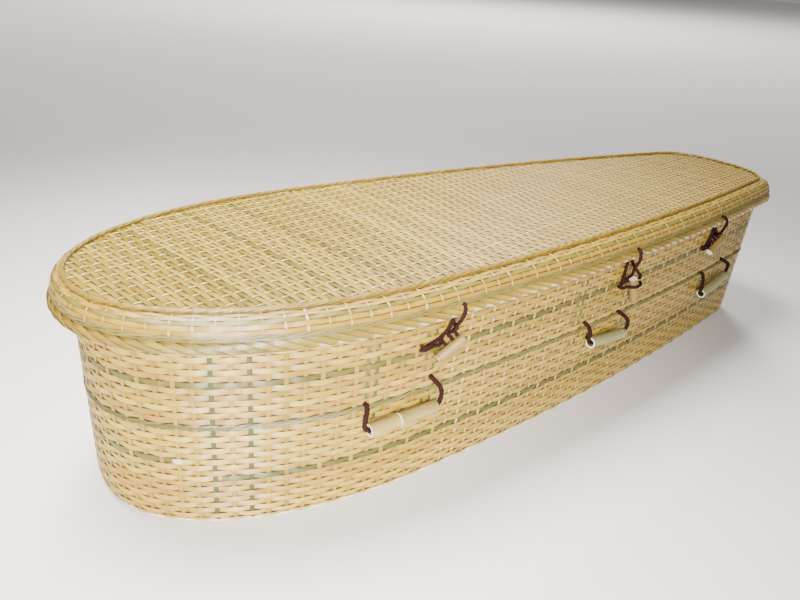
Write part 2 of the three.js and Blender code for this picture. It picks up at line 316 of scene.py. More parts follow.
def weavers(surface, rows, stakes, width, thick, middle, bend, drift, shade_at, step=1e-4):
    """rows is a list of (row number, place up the wall). A row is made of strips that end behind stakes."""
    strips = []
    for number, place in rows:
        wobble = rng.uniform(0, 2 * math.pi, 3)
        first = 2 * rng.randint(0, stakes // 2) + 1 - number % 2
        at, last = first, first + stakes
        while at < last:
            until = min(at + 2 * rng.randint(*STRIP_PAIRS), last)
            if last - until < SHORTEST_STRIP:
                until = last
            q = np.linspace(at - PAST_END, until + PAST_END, (until - at) * PER_STAKE + 1)
            f = q / stakes
            turn = 2 * math.pi * f
            up = place + drift * (np.sin(3 * turn + wobble[0]) + 0.7 * np.sin(7 * turn + wobble[1])
                                  + 0.5 * np.sin(17 * turn + wobble[2]))
            over = flat_wave(q + number)
            centre, out = on_surface(surface, f, up, middle + bend * over, step)
            # the strip's colour takes painted shade where it dips and a painted highlight where it stands
            # out
            strips.append(ribbon(centre, out, width * rng.uniform(0.97, 1.01), thick,
                                 painted_depth_shade(shade_at(number, f), over)))
            at = until
    return strips


def stake(surface, q, stakes, places, phase, width, thick, middle, bend, shade, step=1e-4, painted_glint=0.0):
    """One upright stake over the given places up the wall. phase counts rows up it, and the last argument
    sets a painted highlight, near white, where it stands out."""
    lean = rng.uniform(-1, 1) * STAKE_LEAN
    slant = rng.uniform(-1, 1) * STAKE_SLANT
    f = (q + slant + lean * (phase - phase.mean()) / LEAN_ROWS) / stakes
    front = -np.cos(math.pi * (round(q) + phase))
    centre, out = on_surface(surface, f, places, middle + bend * front, step)
    shades = np.tile(np.asarray(shade, float), (len(places), 1))
    # painted highlight, near white, where the stake stands out
    shades[:, 3] = np.maximum(shades[:, 3], painted_glint * front.clip(0, 1))
    return ribbon(centre, out, width, thick, shades)


# %% [markdown]
# ## The base
# The wall has 142 stakes. Thirteen rows lie above a soft twined band of pale green, and seventeen below
# it, down to the rolled bottom edge. One row above the band is green all round. Two below it are green
# for a part of their length, one only near the head's tip and one only beyond it. The stakes are broad
# and tan round the head, and thinner and paler further on; there they also carry a painted highlight,
# near white, where they stand out. Where a handle's cord goes in, two narrow green strips run up beside
# the stake.

# %% The base
STAKES = 142
ROW = 12 * MM
BAND_HEIGHT = 214 * MM
BAND_ROW, ROWS = 17, 31
LOWEST_ROW = BAND_HEIGHT - BAND_ROW * ROW
UPPER_GREEN_ROW = 24
LOWER_GREEN_ROW, RIGHT_GREEN_FROM = 8, 0.066
LEFT_GREEN_ROW, LEFT_GREEN_TO, PALE_TIP = 11, 0.047, 0.003
GOLDEN_ROWS = 7                             # the lowest rows, golden near the head's tip
BASE_WIDTH, BASE_THICK = 11.5 * MM, 1.3 * MM
BASE_MIDDLE, BASE_BEND, BASE_DRIFT = 1.9 * MM, 1.15 * MM, 0.35 * MM


def base_shade(row, f):
    """Plain, with green over the part of the row that has it; f is how far round each step is."""
    shades = np.tile(plain_shade(), (len(f), 1))
    head_end = np.minimum(f % 1, 1 - f % 1)
    green = {UPPER_GREEN_ROW: head_end >= 0, LOWER_GREEN_ROW: head_end > RIGHT_GREEN_FROM,
             LEFT_GREEN_ROW: head_end < LEFT_GREEN_TO}.get(row, head_end < 0)
    shades[green] = (rng.uniform(0.3, 0.6), rng.uniform(0.8, 0.95), 0.2, 0.0)
    if row < GOLDEN_ROWS:
        shades[head_end < LEFT_GREEN_TO, 2] += 0.3
    if row == LEFT_GREEN_ROW:
        shades[(head_end > LEFT_GREEN_TO) & (head_end < LEFT_GREEN_TO + PALE_TIP), 3] = 0.55
    return shades


def row_place(row):
    return LOWEST_ROW + row * ROW


lower_rows = [(row, row_place(row)) for row in range(BAND_ROW)]
upper_rows = [(row, row_place(row)) for row in range(BAND_ROW + 1, ROWS)]
weave_sizes = (STAKES, BASE_WIDTH, BASE_THICK, BASE_MIDDLE, BASE_BEND, BASE_DRIFT, base_shade)
base_lower = bundle("base_weave_lower", weavers(base_wall, lower_rows, *weave_sizes))
base_upper = bundle("base_weave_upper", weavers(base_wall, upper_rows, *weave_sizes))

# %% The base's stakes
TAN_STAKES, FAINT_GLINT_STAKES = 24, 44            # counted from the head's tip
STAKE_THICK, STAKE_BEND = 1.2 * MM, 0.95 * MM
CORD_STAKES = (17.55, 21.95, 36.5, 41.9, 58.0, 62.3)     # where the handle cords go in
SIDE_STRIPS = ((-0.33, 0.85), (0.34, 1.0))                # shift in stakes, and how green
SIDE_STRIP_FROM_ROW = 14
SIDE_STRIP_WIDTH, SIDE_STRIP_THICK = 6 * MM, 1.1 * MM
stake_rows = np.arange(0, ROWS + 1, 0.5)
stake_z = LOWEST_ROW + stake_rows * ROW
GREEN_STAKES = {9: 1.0, 11: 1.0, 5: 0.3, 13: 0.35}


def wall_stake(k):
    tint = GREEN_STAKES.get(k, rng.uniform(0.1, 0.4) if rng.rand() < SOME else 0)
    from_tip = min(k, STAKES - k)
    broad = from_tip < TAN_STAKES
    tan = rng.uniform(0.7, 1.0) if broad else rng.uniform(0.0, 0.7)
    width = rng.uniform(7.4, 9.2) if broad else rng.uniform(5.6, 7.4)
    # painted highlight on the thinner stakes where they stand out, fainter nearer the head
    painted_glint = 0.0
    if not (broad or tint):
        painted_glint = rng.uniform(0.15, 0.5) if from_tip < FAINT_GLINT_STAKES else rng.uniform(0.3, 0.7)
    shade = (tan, tint, rng.uniform(0.2, 0.6), 0.0)
    return stake(base_wall, k, STAKES, stake_z, stake_rows, width * MM, STAKE_THICK, BASE_MIDDLE,
                 STAKE_BEND, shade, painted_glint=painted_glint)


stakes = [wall_stake(k) for k in range(STAKES)]
short_rows = stake_rows[stake_rows > SIDE_STRIP_FROM_ROW]
short_z = LOWEST_ROW + short_rows * ROW
for place in CORD_STAKES:
    for q in (place, STAKES - place):
        for shift, tint in SIDE_STRIPS:
            stakes.append(stake(base_wall, round(q) + shift, STAKES, short_z, short_rows,
                                SIDE_STRIP_WIDTH, SIDE_STRIP_THICK, BASE_MIDDLE, STAKE_BEND,
                                (0.4, tint, 0.2, 0.0)))
base_stakes = bundle("base_stakes", stakes)

# %% [markdown]
# ## Twined bands
# Soft strands lie round each other and run between two rows. Each strand is a flat ribbon that swings up
# and down and in and out, a share of a turn behind the one before it, so the strands cross like a twist.

# %% Twined bands
def twined(surface, height, strands, spread, stakes, period, width, thick, middle, bend, green, step=1e-4):
    """Soft strands that twist round each other between two rows."""
    strips = []
    q = np.linspace(0, stakes, stakes * 5 + 1)
    turns = round(stakes / period)
    for strand in range(strands):
        phase = 2 * math.pi * (turns * q / stakes + strand / strands)
        place = height + spread * np.sin(phase)
        centre, out = on_surface(surface, q / stakes, place, middle + bend * np.cos(phase), step)
        shade = (rng.uniform(0.2, 0.6), green * rng.uniform(0.85, 1.1), 0.1, 0.06)
        strips.append(ribbon(centre, out, width, thick, shade))
    return strips


base_strands = twined(base_wall, BAND_HEIGHT, strands=3, spread=3.4 * MM, stakes=STAKES, period=3,
                      width=5.0 * MM, thick=2.6 * MM, middle=2.8 * MM, bend=1.3 * MM, green=0.85)
base_band = bundle("base_twined_band", base_strands)

# %% [markdown]
# ## The lid's side
# The side of the lid bulges from the border up to the edge of the top. It is woven in the same way
# with finer rows, over thin stakes that show as short bright ticks.

# %% The lid's side
LID_START, LID_TOP, LID_CROWN = 399 * MM, 424.5 * MM, 4 * MM
LID_WALL = 9 * MM
LID_EDGE = np.array((31, 31, 50)) * MM
SHOULDER_POWER = 2.6

angle_table = np.linspace(0, math.pi / 2, 400)
reach_table = (LID_EDGE[2] - LID_WALL) * (1 - np.cos(angle_table) ** (2 / SHOULDER_POWER))
rise_table = (LID_TOP - LID_START) * np.sin(angle_table) ** (2 / SHOULDER_POWER)
shoulder_table = np.concatenate([[0], np.cumsum(np.hypot(np.diff(reach_table), np.diff(rise_table)))])
SHOULDER = shoulder_table[-1]


def lid_side(f, v):
    """v runs up the shoulder in metres of its length on the long side; below 0 it goes straight down."""
    a = np.interp(v, shoulder_table, angle_table)
    k = 1 - np.cos(a).clip(0) ** (2 / SHOULDER_POWER)
    inset = tuple(LID_WALL + (edge - LID_WALL) * k for edge in LID_EDGE)
    x, y = around(f, inset)
    z = LID_START + (LID_TOP - LID_START) * np.sin(a) ** (2 / SHOULDER_POWER) + np.minimum(v, 0)
    return np.stack([x, y, z + 0 * f], -1)


LID_STAKES = 130
LID_ROWS = 6
LID_BELOW = 3 * MM                          # room for the band below the first row
LID_ROW = (SHOULDER - LID_BELOW) / LID_ROWS
LID_GREEN_ROW = 2
LID_WIDTH, LID_THICK = LID_ROW * 0.97, 0.8 * MM
LID_MIDDLE, LID_BEND, LID_DRIFT = 1.4 * MM, 0.8 * MM, 0.2 * MM
TICK_THICK, TICK_MIDDLE, TICK_BEND = 0.9 * MM, 1.5 * MM, 0.5 * MM
FINE_STEP = 2e-4                            # up the shoulder, for measuring directions
print("shoulder", round(SHOULDER * 1000, 1), "mm, lid rows", round(LID_ROW * 1000, 2), "mm apart")


def lid_shade(row, f):
    """One row is green; the others are cream to golden."""
    if row == LID_GREEN_ROW:
        return rng.uniform(0.2, 0.4), rng.uniform(0.6, 0.8), 0.15, 0.0
    return rng.uniform(0.35, 0.95), 0.0, rng.uniform(0.25, 0.7), 0.0


lid_rows = [(row, LID_BELOW + (row + 0.5) * LID_ROW) for row in range(LID_ROWS)]
lid_strips = weavers(lid_side, lid_rows, LID_STAKES, LID_WIDTH, LID_THICK, LID_MIDDLE, LID_BEND,
                     LID_DRIFT, lid_shade, FINE_STEP)
lid_side_weave = bundle("lid_side_weave", lid_strips)
side_places = np.linspace(0, SHOULDER - 0.5 * MM, 26)
side_rows = (side_places - LID_BELOW) / LID_ROW - 0.5


def lid_stake(k):
    width = rng.uniform(3.0, 4.4) * MM
    shade = (rng.uniform(0, 0.6), 0, 0.2, rng.uniform(0.0, 0.45))
    return stake(lid_side, k, LID_STAKES, side_places, side_rows, width, TICK_THICK, TICK_MIDDLE,
                 TICK_BEND, shade, FINE_STEP)


lid_side_stakes = bundle("lid_side_stakes", [lid_stake(k) for k in range(LID_STAKES)])
lid_strands = twined(lid_side, -1.5 * MM, strands=4, spread=3.6 * MM, stakes=LID_STAKES, period=4,
                     width=4.4 * MM, thick=2.2 * MM, middle=1.9 * MM, bend=1.1 * MM, green=0.65,
                     step=FINE_STEP)
lid_band = bundle("lid_twined_band", lid_strands)

# %% [markdown]
# ## The lid's top
# The top is one almost flat panel in plain weave, turned ten to twelve degrees from the coffin's length.
# Wide strips run across it and narrow ones along it. The narrow ones show as short ticks. Each strip is
# first laid right across and then cut where it meets the outline.

# %% The lid's top
outline_t = np.linspace(0, 3, 3001)
PANEL_HALF, PANEL_STEPS = 1.1, 1400         # metres each way that a strip is tried over, and its steps
PANEL_SIDE = 1.0                            # metres each way that strips are laid side by side
FEWEST_STEPS = 12                           # a strip that keeps fewer steps is left out
STEPS_PER_CROSSING = 4


def inside(points, inset):
    x, y = plan(outline_t, inset)
    order = np.argsort(x)
    edge = np.interp(points[:, 0], x[order], y[order], left=-1, right=-1)
    return np.abs(points[:, 1]) < edge


def crown(points, inset):
    """Height of the top over its edge: it falls slowly from the middle and faster near the edge."""
    x, y = plan(outline_t, inset)
    angles = np.arctan2(y, x)[::-1]
    reach = np.interp(np.arctan2(np.abs(points[:, 1]), points[:, 0]), angles, np.hypot(x, y)[::-1])
    near = np.hypot(points[:, 0], points[:, 1]) / reach
    return np.interp(near, [0, 0.55, 1], [LID_CROWN, LID_CROWN * 0.7, 0])


def panel(name_across, name_along, inset, height, up, across, along, sizes, shade_across, shade_along):
    """A flat plain weave cut to the outline. across and along are (direction, spacing, width), sizes
    is (middle, bend, thickness), and up is 1 on the top and -1 on the bottom."""
    middle, bend, thick = sizes
    pieces = []
    for role, (mine, other) in enumerate(((across, along), (along, across))):
        direction, spacing, width = mine
        side = np.array((-direction[1], direction[0]))
        other_side = np.array((-other[0][1], other[0][0]))
        strips = []
        for number in range(-int(PANEL_SIDE / spacing), int(PANEL_SIDE / spacing)):
            s = np.linspace(-PANEL_HALF, PANEL_HALF, PANEL_STEPS)
            line = direction * s[:, None] + side * ((number + 0.5) * spacing)
            keep = s[inside(line, inset)]
            if len(keep) < FEWEST_STEPS:
                continue
            count = max(4, int((keep[-1] - keep[0]) / (other[1] / STEPS_PER_CROSSING)) + 1)
            s = np.linspace(keep[0], keep[-1], count)
            drift = wander(s * 12, 0.5 * MM)
            line = direction * s[:, None] + side * ((number + 0.5) * spacing + drift)[:, None]
            phase = line @ other_side / other[1] - 0.5
            over = (1 if role else -1) * flat_wave(phase + number)
            depth = middle + bend * over
            z = height + up * (crown(line, inset) * (up > 0) + depth)
            centre = np.column_stack([line, z])
            out = np.tile((0.0, 0.0, float(up)), (count, 1))
            shade = (shade_along if role else shade_across)(number, spacing)
            # the strip's colour takes painted shade where it dips and a painted highlight where it stands
            # out
            strips.append(ribbon(centre, out, width * rng.uniform(0.93, 1.03), thick, painted_depth_shade(shade, over)))
        pieces.append(bundle(name_along if role else name_across, strips))
    return pieces


def heading(degrees):
    return np.array((math.cos(math.radians(degrees)), math.sin(math.radians(degrees))))


ACROSS_HEADING, ALONG_HEADING = -78, 9.5
TOP_EDGE = tuple(LID_EDGE - 1 * MM)
GREEN_ON_TOP = (-0.61, -0.745, -0.505)      # x where green strips cross the middle line


def top_across_shade(number, spacing):
    """Greener near the head and more golden further on."""
    x = (number + 0.5) * spacing / -math.sin(math.radians(ACROSS_HEADING))
    for place in GREEN_ON_TOP:
        if abs(x - place) < spacing / 2:
            return 0.3, 0.7, 0.2, 0.0
    green = rng.uniform(0.1, 0.42) if x < -0.35 else rng.uniform(0, 0.2)
    gold = rng.beta(1.4, 3) * (0.5 if x < -0.45 else 1.0) + (0.2 if x > -0.2 else 0.0)
    return rng.beta(1.6, 2.6), green, gold, 0.0


def top_along_shade(number, spacing):
    return rng.uniform(0.0, 0.3), 0.0, 0.1, rng.uniform(0.3, 0.8)


lid_top_across, lid_top_along = panel(
    "lid_top_across", "lid_top_along", TOP_EDGE, LID_TOP, 1,
    (heading(ACROSS_HEADING), 11.5 * MM, 10.5 * MM), (heading(ALONG_HEADING), 30 * MM, 4.0 * MM),
    (1.5 * MM, 0.75 * MM, 1.0 * MM), top_across_shade, top_along_shade)

# %% [markdown]
# ## The underside
# The bottom is woven from the same strips, wider and flatter, inside the hoop that the coffin stands on.

# %% The underside
HOOP_HEIGHT = 5 * MM
INSIDE_HOOP = 13 * MM
bottom_inset = tuple(np.array(base_inset(HOOP_HEIGHT)) + INSIDE_HOOP)
under_across, under_along = panel(
    "underside_across", "underside_along", bottom_inset, HOOP_HEIGHT + 0.3 * MM, -1,
    (heading(90), 26 * MM, 23 * MM), (heading(0), 27 * MM, 22 * MM),
    (1.3 * MM, 0.55 * MM, 0.8 * MM), lambda *_: plain_shade(), lambda *_: plain_shade())

# %% [markdown]
# ## The border
# Wide strips are laid round a core with a slow turn. Each runs down over the front and folds under, and
# the folds show their white inner side as a row of teeth along the lower edge.

# %% The border
BORDER_RADIUS = 10.5 * MM
BORDER_STRIPS = 148
BORDER_REACH = 80 * MM
BORDER_FROM, BORDER_TO = math.radians(112), math.radians(-50)
BORDER_LEAN = 0.17
TEETH_FROM = 0.085                          # share of the way round; no teeth nearer the head's tip
CORE_RADIUS = 8.6 * MM
CORE_ANGLES = (60, 15, 105, 150, -105, -150, -30, -66)


def border_at(radius):
    def surface(f, a):
        x, y = around(f, (BORDER_RADIUS,) * 3)
        after = np.stack(around(f + AHEAD, (BORDER_RADIUS,) * 3), -1)
        before = np.stack(around(f - AHEAD, (BORDER_RADIUS,) * 3), -1)
        onward = unit(after - before)
        out = np.stack([onward[..., 1], -onward[..., 0]], -1)
        reach = (radius * np.cos(a))[..., None] * out
        z = BORDER_LOW + BORDER_RADIUS + radius * np.sin(a) + 0 * f
        return np.concatenate([np.stack([x, y], -1) + reach, z[..., None]], -1)
    return surface


def border_strips():
    strips = []
    f = np.linspace(0, 1, 441)
    for a in CORE_ANGLES:
        centre, out = on_surface(border_at(CORE_RADIUS), f, np.full_like(f, math.radians(a)), 0, 1e-3)
        strips.append(ribbon(centre, out, 12 * MM, 1.0 * MM, (0.9, 0.1, 0.5, 0)))
    s = np.linspace(0, 1, 14)
    for k in range(BORDER_STRIPS):
        f = k / BORDER_STRIPS + s * BORDER_REACH / GIRTH
        a = BORDER_FROM + (BORDER_TO - BORDER_FROM) * s
        centre, out = on_surface(border_at(BORDER_RADIUS - 0.9 * MM), f, a, 0, 1e-3)
        green = max(0, 0.25 + 0.2 * math.sin(k * 0.17) + rng.uniform(-0.1, 0.15))
        shade = np.tile((rng.uniform(0.1, 0.9), green, rng.uniform(0.1, 0.7), 0.0), (len(s), 1))
        if TEETH_FROM < k / BORDER_STRIPS < 1 - TEETH_FROM:
            shade[:, 3] = 0.75 * ((s - rng.uniform(0.74, 0.84)) / 0.03).clip(0, 1)
        strips.append(ribbon(centre, out, 12.5 * MM, 1.1 * MM, shade, lean=BORDER_LEAN))
    return strips


lid_border = bundle("lid_border_plait", border_strips())
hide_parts("lid_border")

# %% [markdown]
# ## The edge of the top
# Three strands, from olive to tan, are laid round each other along the edge of the lid's top.

# %% The edge of the top
BAND_INSET = tuple(LID_EDGE - 3 * MM)
BAND_Z = 430.4 * MM
BAND_TURNS = 62
STRAND_OFF = 2.4 * MM
STRAND_GREENS = (0.45, 0.2, 0.05)


def edge_strands():
    strips = []
    f = np.linspace(0, 1, BAND_TURNS * 10 + 1)
    x, y = around(f, BAND_INSET)
    onward = unit(np.stack(around(f + AHEAD, BAND_INSET), -1) - np.stack(around(f - AHEAD, BAND_INSET), -1))
    out = np.stack([onward[:, 1], -onward[:, 0], 0 * f], -1)
    for strand, green in enumerate(STRAND_GREENS):
        a = 2 * math.pi * (BAND_TURNS * f + strand / len(STRAND_GREENS))
        away = out * np.cos(a)[:, None] + np.array((0, 0, 1)) * np.sin(a)[:, None]
        centre = np.stack([x, y, np.full_like(f, BAND_Z)], -1) + away * STRAND_OFF
        shade = (rng.uniform(0.6, 0.9), green, rng.uniform(0.2, 0.5), 0)
        strips.append(ribbon(centre, away, 6.6 * MM, 3.4 * MM, shade))
    return strips


lid_edge = bundle("lid_edge_strands", edge_strands())
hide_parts("lid_edge_band")

# %% [markdown]
# ## Places on the wall
# Handles and toggles hang from small holes in the two long sides. A place on the wall is a point on it,
# the direction along it and the direction out of it.

# %% Places on the wall
UP = Vector((0, 0, 1))


def wall_at(x, z, side, off=0.0):
    slope = float(half_width(x + 1 * MM) - half_width(x - 1 * MM)) / (2 * MM)
    along = Vector((1, side * slope, 0)).normalized()
    out = Vector((-slope, side, 0)).normalized()
    y = side * float(half_width(x) - base_inset(z)[2])
    return Vector((x, y, z)) + out * off, along, out


# %% [markdown]
# ## Cane
# A handle is a bamboo tube: a cylinder with its ends inset and joined through, so that it is open, with
# softened rims and one low ring where the cane had a node. A toggle is a short solid piece of the same.

# %% Cane
CANE_SIDES = 40
RIM = 0.7 * MM
RING_HALF = 3 * MM


def cane(name, length, radius, bore, ring_at, ring_swell):
    bpy.ops.mesh.primitive_cylinder_add(vertices=CANE_SIDES, radius=radius, depth=length)
    obj = bpy.context.object
    obj.name = name
    bpy.ops.object.mode_set(mode="EDIT")
    bpy.ops.mesh.select_mode(type="FACE")
    bpy.ops.mesh.select_all(action="DESELECT")
    bpy.ops.mesh.select_face_by_sides(number=CANE_SIDES)
    bpy.ops.mesh.inset(thickness=radius - bore if bore else radius * 0.35)
    if bore:
        bpy.ops.mesh.bridge_edge_loops()
    bpy.ops.mesh.select_all(action="DESELECT")
    bpy.ops.mesh.select_mode(type="EDGE")
    bpy.ops.mesh.edges_select_sharp(sharpness=math.radians(60))
    bpy.ops.mesh.bevel(offset=RIM, segments=2)
    cuts = (-length * 0.25, length * 0.25, ring_at - RING_HALF, ring_at + RING_HALF, ring_at)
    for shift in cuts:
        bpy.ops.mesh.select_all(action="SELECT")
        bpy.ops.mesh.bisect(plane_co=(0, 0, shift), plane_no=(0, 0, 1))
    if ring_swell:
        bpy.ops.transform.resize(value=(1 + ring_swell, 1 + ring_swell, 1))
    bpy.ops.mesh.select_all(action="SELECT")
    bpy.ops.mesh.normals_make_consistent(inside=False)
    bpy.ops.object.mode_set(mode="OBJECT")
    return obj


def finish_cane(obj, ring_at, middle, axis):
    """Writes the grain's UVs and marks the cut ends, then puts the cane in its place."""
    mesh = obj.data
    places = np.empty(len(mesh.vertices) * 3)
    mesh.vertices.foreach_get("co", places)
    places = places.reshape(-1, 3)
    corners = np.empty(len(mesh.loops), int)
    mesh.loops.foreach_get("vertex_index", corners)
    turn = np.arctan2(places[:, 1], places[:, 0]) / (2 * math.pi) + 0.5
    uv = np.stack([places[:, 2] - ring_at, turn], -1)[corners]
    mesh.uv_layers[0].data.foreach_set("uv", uv.astype(np.float32).ravel())
    for face in mesh.polygons:
        face.material_index = 1 if abs(face.normal.z) > 0.9 else 0
    turned = UP.rotation_difference(axis).to_matrix().to_4x4()
    obj.matrix_world = Matrix.Translation(middle) @ turned
    bpy.ops.object.select_all(action="DESELECT")
    bpy.context.view_layer.objects.active = obj
    obj.select_set(True)
    bpy.ops.object.transform_apply(location=True, rotation=True, scale=True)
    bpy.ops.object.shade_smooth_by_angle(angle=math.radians(35))


# %% [markdown]
# ## Cord
# The brown cord is three strands laid together. Its route runs through the same points as in the frame,
# on one smooth curve, and a lobed section turns slowly as it goes along.

# %% Cord
def smooth_route(points, pace):
    """Evenly spaced places on a centripetal Catmull-Rom curve through the points."""
    p = np.array([tuple(point) for point in points])
    p = np.vstack([2 * p[0] - p[1], p, 2 * p[-1] - p[-2]])
    dense = []
    for i in range(1, len(p) - 2):
        p0, p1, p2, p3 = p[i - 1:i + 3]
        t1 = np.linalg.norm(p1 - p0) ** 0.5
        t2 = t1 + np.linalg.norm(p2 - p1) ** 0.5
        t3 = t2 + np.linalg.norm(p3 - p2) ** 0.5
        t = np.linspace(t1, t2, 40, endpoint=False)[:, None]
        a1 = (t1 - t) / t1 * p0 + t / t1 * p1
        a2 = (t2 - t) / (t2 - t1) * p1 + (t - t1) / (t2 - t1) * p2
        a3 = (t3 - t) / (t3 - t2) * p2 + (t - t2) / (t3 - t2) * p3
        b1 = (t2 - t) / t2 * a1 + t / t2 * a2
        b2 = (t3 - t) / (t3 - t1) * a2 + (t - t1) / (t3 - t1) * a3
        dense.append((t2 - t) / (t2 - t1) * b1 + (t - t1) / (t2 - t1) * b2)
    dense = np.vstack(dense + [p[-2:-1]])
    run = np.concatenate([[0], np.cumsum(np.linalg.norm(np.diff(dense, axis=0), axis=1))])
    even = np.linspace(0, run[-1], int(run[-1] / pace) + 1)
    return np.stack([np.interp(even, run, dense[:, i]) for i in range(3)], -1), run[-1]


CORD_SIDES = 12
CORD_LAY = 22 * MM                          # along the cord for one turn of its strands
CORD_PACE = 1.6 * MM


def cord_mesh(name, route, diameter):
    count = len(route)
    tangent = unit(np.gradient(route, axis=0))
    side = np.zeros_like(route)
    first = np.cross(tangent[0], (0.3, 0.2, 0.9))
    side[0] = first / np.linalg.norm(first)
    for i in range(1, count):
        carried = side[i - 1] - tangent[i] * (side[i - 1] @ tangent[i])
        side[i] = carried / np.linalg.norm(carried)
    other = np.cross(tangent, side)
    run = np.concatenate([[0], np.cumsum(np.linalg.norm(np.diff(route, axis=0), axis=1))])
    a = np.arange(CORD_SIDES) * 2 * math.pi / CORD_SIDES
    lobes = np.abs(np.cos(1.5 * a))[None] ** 0.7 * 0.26 + 0.74
    wear = 1 + 0.05 * np.sin(run * 410 + 1)[:, None] * np.sin(run * 163)[:, None]
    reach = diameter / 2 * lobes * wear
    turn = a[None] + 2 * math.pi * run[:, None] / CORD_LAY
    points = (route[:, None] + (reach * np.cos(turn))[..., None] * side[:, None]
              + (reach * np.sin(turn))[..., None] * other[:, None]).reshape(-1, 3)
    faces = []
    for i in range(count - 1):
        for j in range(CORD_SIDES):
            k = (j + 1) % CORD_SIDES
            low, high = i * CORD_SIDES, (i + 1) * CORD_SIDES
            faces.append((low + j, low + k, high + k, high + j))
    faces.append(tuple(range(CORD_SIDES))[::-1])
    faces.append(tuple(range((count - 1) * CORD_SIDES, count * CORD_SIDES)))
    mesh = bpy.data.meshes.new(name)
    mesh.from_pydata([tuple(p) for p in points], [], faces)
    uv = np.stack([np.repeat(run, CORD_SIDES), np.tile(a / (2 * math.pi), count)], -1)
    corners = np.array([v for face in faces for v in face])
    mesh.uv_layers.new(name="UVMap").data.foreach_set("uv", uv[corners].astype(np.float32).ravel())
    obj = bpy.data.objects.new(name, mesh)
    bpy.context.collection.objects.link(obj)
    mesh.shade_smooth()
    return obj


cords = []


def lay_cord(name, points, diameter, node=None):
    route, length = smooth_route(points, CORD_PACE)
    obj = cord_mesh(name, route, diameter)
    if node:
        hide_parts(node)
    cords.append(obj)
    return length


# %% [markdown]
# ## Handles
# Each handle hangs on one cord. Its two ends go into the wall fifty to sixty millimetres above the
# tube's middle.

# %% Handles
HANDLE = {"radius": 12 * MM, "bore": 8.6 * MM, "off": 19 * MM, "cord": 9.5 * MM}
HANDLES = ({"x": -467, "z": 180, "tilt": 0, "length": 149, "holes": ((-543, 229), (-401, 242)), "ring": -11,
            "swell": 0.07},
           {"x": 128, "z": 171.5, "tilt": -0.11, "length": 135, "holes": ((43, 231), (176, 221)), "ring": 52,
            "swell": 0.04},
           {"x": 660, "z": 165.5, "tilt": 0.14, "length": 143, "holes": ((581, 218), (707, 227)), "ring": 50,
            "swell": 0.03})
GAP = 0.3 * MM
START_OFF = GAP + 1.2 * MM                  # where a cord leaves the weave
HANDLE_BEND = {"out": 10 * MM, "drop": 2 * MM, "wide": 9 * MM, "high": 0.53, "off": 1 * MM,
               "mouth": (10 * MM, 12 * MM), "entry": (2.5 * MM, 1 * MM), "inside": 14 * MM}
canes = []


def add_handle(number, place, side):
    x, z, length = place["x"] * MM, place["z"] * MM, place["length"] * MM
    at, along, out = wall_at(x, z, side, HANDLE["off"])
    axis = along * math.cos(place["tilt"]) + UP * math.sin(place["tilt"])
    ring = place["ring"] * MM
    tube = cane(f"handle_tube_{number}", length, HANDLE["radius"], HANDLE["bore"], ring, place["swell"])
    finish_cane(tube, ring, at, axis)
    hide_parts(f"handle_{number}")
    canes.append(tube)

    def end(sign, hole_place):
        hole, _, hole_out = wall_at(hole_place[0] * MM, hole_place[1] * MM, side)
        mouth = at + axis * (sign * length / 2)
        bend = HANDLE_BEND
        rise = (hole.z - mouth.z) * bend["high"]
        return [hole + hole_out * START_OFF,
                hole + hole_out * bend["out"] - UP * bend["drop"],
                mouth + axis * (sign * bend["wide"]) + UP * rise + out * bend["off"],
                mouth + axis * (sign * bend["mouth"][0]) + UP * bend["mouth"][1],
                mouth + axis * (sign * bend["entry"][0]) + UP * bend["entry"][1],
                mouth - axis * (sign * bend["inside"])]

    route = end(-1, place["holes"][0]) + [at] + end(1, place["holes"][1])[::-1]
    laid = lay_cord(f"handle_cord_laid_{number}", route, HANDLE["cord"], f"handle_cord_{number}")
    print("handle", number, "cord", round(laid * 1000), "mm")


# %% [markdown]
# ## Toggles
# Four lengths of cord go with a toggle. The tie runs from a hole in the base wall to the bar, and a
# second one, back, from beside that hole up under the border. The loop comes from the outside of the lid
# and a fourth, under, from beneath the border, both down to the bar. A cord ends against the bar or hooks
# over its front. Routes are x, z and the distance inside the border's outline, in millimetres.

